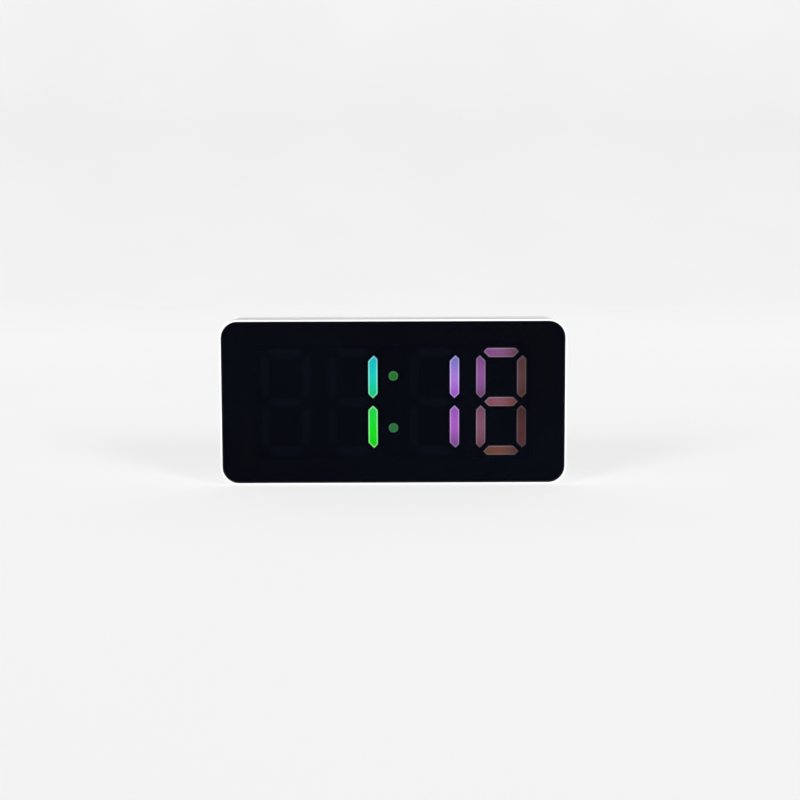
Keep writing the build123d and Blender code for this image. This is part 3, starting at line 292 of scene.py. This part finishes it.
def make_cell_surface():
    """Plain dry cells: a grey jacket between nickel ends."""
    nickel, jacket_low, jacket_high = (190, 191, 193), (92, 104, 116), (98, 110, 122)
    made, tree, shader, place = new_surface("cell_can")
    low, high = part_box("battery_cells")
    along = add_travel(tree, place, (low.x, low.z), (high.x, low.z))
    jacket = add_ramp(tree, along, ((0.0, nickel), (0.07, nickel), (0.075, jacket_low), (0.93, jacket_high),
                                    (0.935, nickel)))
    cloud = add_noise(tree, place, scale=240.0)
    colour = add_mix(tree, add_range(tree, cloud, low=0.0, high=0.12), jacket, linear(90, 90, 92))
    roughness = add_range(tree, cloud, low=0.24, high=0.34)
    normal = add_bump(tree, cloud, distance=0.02 * MM)
    set_inputs(tree, shader, Base_Color=colour, Roughness=roughness, Normal=normal, Metallic=0.55)
    return made


def make_sweep_surface():
    """The floor's pale surface. Its own light fades up the backdrop, and a little towards it, so that the
    floor and the backdrop look even."""
    made, tree, shader, place = new_surface("sweep_white")
    cloud = add_noise(tree, place, scale=3.0)
    colour = add_mix(tree, add_range(tree, cloud, 0.0, 1.0), linear(158, 158, 159), linear(161, 161, 163))
    roughness = add_range(tree, cloud, low=0.5, high=0.56)

    # The root of the height lets the light fade fast just above the floor, then slowly
    axes = add_axes(tree, place)
    rise = add_range(tree, add_math(tree, "SQRT", axes["Z"]), low=0.637, high=0.41, start=0.0, end=0.7)
    far = add_range(tree, axes["Y"], low=0.0, high=0.05, start=1.2, end=2.6)
    strength = add_math(tree, "SUBTRACT", rise, far)
    set_inputs(tree, shader, Base_Color=colour, Roughness=roughness, Specular_IOR_Level=0.0,
               Emission_Color=WHITE, Emission_Strength=strength)
    return made


def dress(material, *names):
    """Gives CAD nodes a surface, in place of the one they came with."""
    for name in names:
        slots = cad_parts[name].data.materials
        slots.clear()
        slots.append(material)


# Every node's surface

housing_white = moulded("housing_white", linear(229, 230, 232), rough=0.5, shade=0.985, grain=0.006 * MM,
                        Specular_IOR_Level=0.3)
buttons_white = moulded("button_white", linear(224, 225, 227), rough=0.47, shade=0.98, grain=0.008 * MM,
                        Specular_IOR_Level=0.35)
diffuser_grey = moulded("diffuser_unlit", linear(66, 76, 108), rough=0.5, shade=0.8, cloud_scale=400.0)

dress(housing_white, "front_housing", "rear_shell", "battery_door")
dress(buttons_white, "snooze_key", "button_mode", "button_set", "button_up", "button_down", "button_alarm")
dress(make_panel_surface(), "front_panel")
dress(moulded("black_tape", linear(7, 7, 8), rough=0.85, shade=0.7, grain=0.05 * MM, grain_scale=1500.0),
      "panel_tape")
dress(moulded("reflector_black", linear(7, 7, 8), rough=0.7, shade=0.8), "display_reflector")
dress(moulded("led_chip", linear(232, 226, 190), rough=0.35, shade=0.85, cloud_scale=900.0), "led_chips")
dress(make_board_surface(), "main_board", "button_board")
dress(moulded("screw_steel", linear(196, 197, 200), rough=0.28, shade=0.82, cloud_scale=1400.0, Metallic=1.0),
      "board_screws", "button_board_screws", "housing_screws")
dress(moulded("chip_black", linear(22, 22, 24), rough=0.55, shade=0.8, cloud_scale=900.0),
      "clock_chip", "driver_chip", "chip_resistors")
dress(moulded("crystal_can", linear(200, 201, 204), rough=0.22, shade=0.86, stretch=(1.0, 1.0, 8.0),
              Metallic=1.0), "clock_crystal")
dress(moulded("capacitor_can", linear(38, 44, 66), rough=0.35, shade=0.8, cloud_scale=500.0, Metallic=0.3),
      "capacitors")
dress(moulded("connector_ivory", linear(226, 219, 198), rough=0.45, shade=0.93),
      "cable_sockets", "lead_sockets")
dress(moulded("cable_grey", linear(148, 150, 154), rough=0.5, shade=0.85, stretch=(1.0, 1.0, 6.0)),
      "board_cable")
dress(moulded("switch_black", linear(26, 26, 28), rough=0.5, shade=0.8), "tact_switches", "snooze_switch")
dress(moulded("foot_rubber", linear(46, 46, 48), rough=0.82, shade=0.8, grain=0.04 * MM, grain_scale=1800.0),
      "rubber_feet")
dress(moulded("socket_steel", linear(188, 189, 192), rough=0.26, shade=0.82, stretch=(1.0, 6.0, 1.0),
              Metallic=1.0), "power_socket")
dress(moulded("buzzer_black", linear(24, 24, 26), rough=0.5, shade=0.8, cloud_scale=300.0), "buzzer")
dress(make_cell_surface(), "battery_cells")
dress(moulded("contact_nickel", linear(204, 202, 196), rough=0.24, shade=0.84, stretch=(1.0, 1.0, 5.0),
              Metallic=1.0), "contact_plates", "contact_springs")
dress(moulded("lead_red", linear(170, 26, 24), rough=0.45, shade=0.85, cloud_scale=500.0), "battery_leads")
dress(moulded("lead_black", linear(24, 24, 26), rough=0.45, shade=0.8, cloud_scale=500.0), "buzzer_leads")
dress(moulded("plunger_grey", linear(188, 190, 192), rough=0.45, shade=0.9), "snooze_plunger", "plunger_mode",
      "plunger_set", "plunger_up", "plunger_down", "plunger_alarm")

# Shapes of the bars

MITRE = BAR_GAP / math.sqrt(2)
WIDE = BAR_COLUMN - MITRE
TALL = BAR_ROW - MITRE
LENS_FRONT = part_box("digit_1_segments")[0].y
LENS_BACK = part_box("digit_1_segments")[1].y
LEVEL = (-WIDE - CORNER_SHIFT, CORNER_SHIFT, WIDE + CORNER_SHIFT, CORNER_SHIFT)
UPRIGHT = (MITRE, 0.0, TALL + CORNER_SHIFT, CORNER_SHIFT)
MIDDLE = (-WIDE, 0.0, WIDE, 0.0)

# Each bar: its name, its middle line's place from the digit's middle, the ways that its length and its
# outward side point, as (x, z), and its start, start shift, end and end shift
BARS = (
    ("A", (0.0, BAR_ROW), (1, 0), (0, 1), LEVEL),
    ("B", (BAR_COLUMN, 0.0), (0, 1), (1, 0), UPRIGHT),
    ("C", (BAR_COLUMN, 0.0), (0, -1), (1, 0), UPRIGHT),
    ("D", (0.0, -BAR_ROW), (1, 0), (0, -1), LEVEL),
    ("E", (-BAR_COLUMN, 0.0), (0, -1), (-1, 0), UPRIGHT),
    ("F", (-BAR_COLUMN, 0.0), (0, 1), (-1, 0), UPRIGHT),
    ("G", (0.0, 0.0), (1, 0), (0, 1), MIDDLE),
)


def bar_outline(bar, inset):
    """The six corners of a bar as (x, z) from the digit's middle, drawn in by inset."""
    _, (middle_x, middle_z), (along_x, along_z), (out_x, out_z), (start, shift_0, end, shift_1) = bar
    half = BAR_WIDTH / 2 - inset
    start += inset * math.sqrt(2)
    end -= inset * math.sqrt(2)
    corners = ((start, shift_0), (start + half - shift_0, half), (end - half + shift_1, half),
               (end, shift_1), (end - half - shift_1, -half), (start + half + shift_0, -half))
    return [(middle_x + u * along_x + v * out_x, middle_z + u * along_z + v * out_z) for u, v in corners]


def dot_outline(centre_z, radius):
    """A round dot's outline as (x, z)."""
    sides = 48
    turns = [2 * math.pi * index / sides for index in range(sides)]
    return [(radius * math.cos(turn), centre_z + radius * math.sin(turn)) for turn in turns]


def add_lens(mesh, outer, inner, core, bright_edge, dim_edge):
    """A diffuser from its two outlines of (x, z) points: flat core, sloped edge band, sides and back. Its
    edge band is bright on the left and above, and dim on the right and below."""
    rings = []
    for outline, y in ((inner, LENS_FRONT), (outer, LENS_FRONT + EDGE_DROP), (outer, LENS_BACK)):
        rings.append([mesh.verts.new((x, y, z)) for x, z in outline])
    front_ring, back_ring = rings[0], rings[-1]
    mesh.faces.new(front_ring).material_index = core
    mesh.faces.new(back_ring).material_index = dim_edge
    middle = sum((vertex.co for vertex in back_ring), Vector()) / len(back_ring)
    for front, back in zip(rings, rings[1:]):
        for index, vertex in enumerate(front):
            after = (index + 1) % len(front)
            out_x, _, out_z = (vertex.co + front[after].co) / 2 - middle
            side = mesh.faces.new((vertex, front[after], back[after], back[index]))
            side.material_index = bright_edge if out_z > out_x else dim_edge


def finish_piece(name, mesh, surfaces, node):
    """Makes a piece of the mesh that stands for a CAD node and rides on the clock."""
    bmesh.ops.recalc_face_normals(mesh, faces=mesh.faces)
    data = bpy.data.meshes.new(name)
    mesh.to_mesh(data)
    mesh.free()
    piece = add_object(name, data)
    for surface in surfaces:
        data.materials.append(surface)
    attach(piece, CLOCK)
    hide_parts(node)


# The four digits

# Screen colours of the light from the top of a digit to its bottom
GREEN = ((0.05, (20, 194, 202)), (0.25, (26, 203, 186)), (0.45, (24, 206, 124)), (0.55, (34, 216, 84)),
         (0.75, (24, 219, 40)), (0.95, (22, 216, 14)))
VIOLET = ((0.08, (137, 127, 214)), (0.28, (166, 118, 210)), (0.42, (167, 98, 215)), (0.75, (163, 90, 187)),
          (0.95, (138, 82, 160)))
PLUM = ((0.0, (146, 87, 158)), (0.3, (137, 82, 148)), (0.44, (130, 80, 126)), (0.5, (150, 90, 112)),
        (0.56, (130, 82, 110)), (0.92, (124, 78, 96)), (0.97, (119, 75, 57)))
RUST = ((0.0, (112, 72, 76)), (0.12, (86, 58, 56)), (0.4, (84, 58, 50)), (0.5, (116, 66, 50)),
        (0.6, (70, 44, 42)), (0.85, (84, 44, 48)), (0.97, (94, 60, 56)))

# The bars that each digit lights, and the stops of its left and right side. Then how far its light drops at
# the ends of its bars, the share of its own colour that its edges keep, and the grey of its bright and dim
# edges. The first digit is dark.
DIGIT_LIGHTS = (
    dict(lit=""),
    dict(lit="BC", left=GREEN, right=GREEN, end_drop=0.22, keep=0.96, bright=0.52, dim=0.42),
    dict(lit="BC", left=VIOLET, right=VIOLET, end_drop=0.45, keep=0.9, bright=1.1, dim=0.95),
    dict(lit="ABCDEFG", left=PLUM, right=RUST, end_drop=0.55, keep=0.66, bright=1.15, dim=0.8),
)

# A digit's surfaces in order, by the face that they are on
UNLIT_FACES = (0, 0, 0)
LIT_FACES = (1, 2, 3)

for number, (place_x, light) in enumerate(zip(DIGIT_PLACES, DIGIT_LIGHTS), 1):
    surfaces = [diffuser_grey]
    if light["lit"]:
        glow = ((place_x, FACE_CENTRE_Z), (BAR_COLUMN, BAR_ROW), light["left"], light["right"],
                light["end_drop"])
        surfaces.append(make_lit_surface(f"digit_{number}_light", *glow))
        for edge in ("bright", "dim"):
            edge_name = f"digit_{number}_{edge}_edge"
            surfaces.append(make_lit_surface(edge_name, *glow, light["keep"], light[edge]))
    digit = bmesh.new()
    for bar in BARS:
        faces = LIT_FACES if bar[0] in light["lit"] else UNLIT_FACES
        outlines = [[(place_x + x, FACE_CENTRE_Z + z) for x, z in bar_outline(bar, inset)]
                    for inset in (0.0, EDGE_BAND)]
        add_lens(digit, *outlines, *faces)
    finish_piece(f"digit_{number}_bars", digit, surfaces,
                 f"digit_{number}_segments")

# The colon's dots, the upper one and the lower one
DOT_STOPS = ((0.0, (28, 118, 38)), (1.0, (32, 110, 56)))
DOT_FACES = (0, 1, 1)

dots = bmesh.new()
for side in (1, -1):
    centre_z = FACE_CENTRE_Z + side * DOT_HEIGHT
    outlines = [dot_outline(centre_z, radius) for radius in (DOT_RADIUS, DOT_RADIUS - EDGE_BAND)]
    add_lens(dots, *outlines, *DOT_FACES)
dot_glow = ((0.0, FACE_CENTRE_Z), (DOT_RADIUS, DOT_HEIGHT), DOT_STOPS, DOT_STOPS, 0.0)
dot_surfaces = [make_lit_surface("colon_light", *dot_glow),
                make_lit_surface("colon_edge", *dot_glow, keep=0.75, pale=0.4)]
finish_piece("colon_lenses", dots, dot_surfaces, "colon_dots")

# Floor and backdrop


def make_sweep():
    """A pale floor that rises behind the clock in one smooth curve."""
    half_width, front, bend, radius, height, steps = 9.0, -14.0, 2.4, 1.4, 4.0, 32
    profile = [(front, 0.0), (bend, 0.0)]
    for step in range(1, steps + 1):
        turn = math.pi / 2 * step / steps
        profile.append((bend + radius * math.sin(turn), radius * (1 - math.cos(turn))))
    profile.append((bend + radius, height))
    data = bpy.data.meshes.new("sweep")
    points = [(x, y, z) for y, z in profile for x in (-half_width, half_width)]
    faces = [(2 * i, 2 * i + 1, 2 * i + 3, 2 * i + 2) for i in range(len(profile) - 1)]
    data.from_pydata(points, [], faces)
    data.shade_smooth()
    data.materials.append(make_sweep_surface())
    sweep = add_object("sweep", data)


make_sweep()

# Lights and sky

LIGHT_SPREAD = math.radians(20.0)
LIGHT_COLOUR = (1.0, 0.99, 0.975)
SKY_COLOUR = (0.975, 0.985, 1.0, 1.0)


def add_light(name, place, power):
    """A soft, slightly warm light from far off, from the side that place gives."""
    data = bpy.data.lights.new(name, "SUN")
    data.angle = LIGHT_SPREAD
    data.energy = power
    data.color = LIGHT_COLOUR
    light = add_object(name, data)
    light.location = place
    light.rotation_euler = (-Vector(place)).to_track_quat("-Z", "Y").to_euler()


def make_sky():
    """A sky as pale as the floor at the horizon, and dimmer above."""
    world = bpy.data.worlds.new("studio")
    world.use_nodes = True
    tree = world.node_tree
    background = tree.nodes["Background"]
    background.inputs["Color"].default_value = SKY_COLOUR
    axes = add_axes(tree, tree.nodes.new("ShaderNodeTexCoord").outputs["Generated"])
    strength = add_range(tree, axes["Z"], low=0.91, high=0.22, start=0.17, end=0.45)
    tree.links.new(strength, background.inputs["Strength"])
    bpy.context.scene.world = world


add_light("front_left", (-1.7, -2.4, 1.1), power=1.85)
add_light("front_right", (1.7, -2.4, 1.1), power=1.75)
make_sky()
bpy.context.scene.view_settings.view_transform = "Standard"

# Camera

CAMERA_DISTANCE = 0.641
CAMERA_ELEVATION = math.radians(5.6)
CAMERA_AZIMUTH = math.radians(-0.3)
CAMERA_ROLL = math.radians(-0.18)
CAMERA_SENSOR = 36.0
CAMERA_LENS = 63.8
AIM_RIGHT = 2.99 * MM
AIM_ABOVE_CENTRE = 1.1 * MM
AIM = Vector((AIM_RIGHT, cad_low.y, FACE_CENTRE_Z + AIM_ABOVE_CENTRE))

camera_data = bpy.data.cameras.new("camera")
camera_data.sensor_width = CAMERA_SENSOR
camera_data.lens = CAMERA_LENS
camera = add_object("camera", camera_data)
back = Vector((math.sin(CAMERA_AZIMUTH) * math.cos(CAMERA_ELEVATION),
               -math.cos(CAMERA_AZIMUTH) * math.cos(CAMERA_ELEVATION), math.sin(CAMERA_ELEVATION)))
camera.location = AIM + back * CAMERA_DISTANCE
look = (-back).to_track_quat("-Z", "Y")
camera.rotation_euler = (look @ Euler((0.0, 0.0, CAMERA_ROLL)).to_quaternion()).to_euler()
bpy.context.scene.camera = camera
